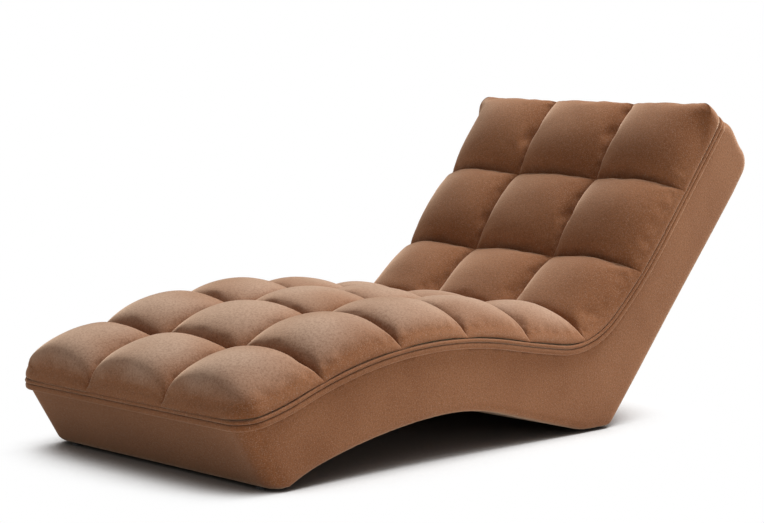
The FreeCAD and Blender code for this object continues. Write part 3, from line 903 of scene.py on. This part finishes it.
def stage_floor():
    """White floor that keeps the soft shadow close round the part, and painted shade: its colour
    darkens where the part closes it in.
    """
    bm = bmesh.new()
    bmesh.ops.create_grid(bm, x_segments=1, y_segments=1, size=30)
    floor = new_object("floor", bm)
    n = Nodes("floor")
    openness = n.tree.nodes.new("ShaderNodeAmbientOcclusion")
    openness.samples = 12
    openness.inputs["Distance"].default_value = 0.35
    open_sky = openness.outputs["AO"]
    path = n.tree.nodes.new("ShaderNodeLightPath")
    direct = n.math("MAXIMUM", path.outputs["Is Camera Ray"], path.outputs["Is Glossy Ray"])
    direct = n.math("MAXIMUM", direct, path.outputs["Is Transmission Ray"])
    seen = n.math("MULTIPLY", n.ramp(open_sky, [(0.35, 0.0), (0.79, 1.0)]), direct)
    glow = n.tree.nodes.new("ShaderNodeEmission")
    glow.inputs["Color"].default_value = (1, 1, 1, 1)
    mixed = n.tree.nodes.new("ShaderNodeMixShader")
    # Painted shade: the floor's colour darkens under and round the part by occlusion
    painted_floor_shade = n.ramp(open_sky, [(0.0, 0.15), (0.8, 0.86)])
    n.set(Base_Color=painted_floor_shade, Roughness=0.9, Specular_IOR_Level=0.0)
    n.link(seen, mixed.inputs[0])
    n.link(n.shader.outputs[0], mixed.inputs[1])
    n.link(glow.outputs[0], mixed.inputs[2])
    n.link(mixed.outputs[0], n.output.inputs["Surface"])
    floor.data.materials.append(n.material)


def world_light():
    world = bpy.data.worlds.new("studio")
    bpy.context.scene.world = world
    world.use_nodes = True
    tree = world.node_tree
    tree.nodes.clear()
    output = tree.nodes.new("ShaderNodeOutputWorld")
    soft = tree.nodes.new("ShaderNodeBackground")
    soft.inputs["Color"].default_value = (1.0, 0.93, 0.87, 1)
    soft.inputs["Strength"].default_value = 0.34
    white = tree.nodes.new("ShaderNodeBackground")
    white.inputs["Color"].default_value = (1, 1, 1, 1)
    white.inputs["Strength"].default_value = 1.0
    path = tree.nodes.new("ShaderNodeLightPath")
    mixed = tree.nodes.new("ShaderNodeMixShader")
    seen = path.outputs["Is Camera Ray"]
    for kind in ("Is Glossy Ray", "Is Transmission Ray"):
        either = tree.nodes.new("ShaderNodeMath")
        either.operation = "MAXIMUM"
        tree.links.new(seen, either.inputs[0])
        tree.links.new(path.outputs[kind], either.inputs[1])
        seen = either.outputs[0]
    tree.links.new(seen, mixed.inputs[0])
    tree.links.new(soft.outputs[0], mixed.inputs[1])
    tree.links.new(white.outputs[0], mixed.inputs[2])
    tree.links.new(mixed.outputs[0], output.inputs["Surface"])


def lamp(name, place, target, size, power):
    data = bpy.data.lights.new(name, "AREA")
    data.shape = "DISK"
    data.size = size
    data.energy = power
    obj = bpy.data.objects.new(name, data)
    obj.location = place
    obj.rotation_euler = (Vector(target) - Vector(place)).to_track_quat("-Z", "Y").to_euler()
    bpy.context.scene.collection.objects.link(obj)


def camera():
    data = bpy.data.cameras.new("camera")
    data.lens = 98.82
    data.sensor_width = 36.0
    data.clip_end = 200
    obj = bpy.data.objects.new("camera", data)
    obj.location = (3.6481, -2.7257 - SHIFT, 0.9519)
    obj.rotation_euler = (math.radians(90 - 6.135), 0, math.radians(46.062))
    bpy.context.scene.collection.objects.link(obj)
    bpy.context.scene.camera = obj


stage_floor()
world_light()
lamp("key", (0.9, 3.7, 5.8), (0, -0.1, 0.2), 2.6, 610)
lamp("side", (7.4, 1.0, 1.4), (0, -0.1, 0.2), 2.6, 50)
camera()
bpy.context.scene.view_settings.view_transform = "Standard"
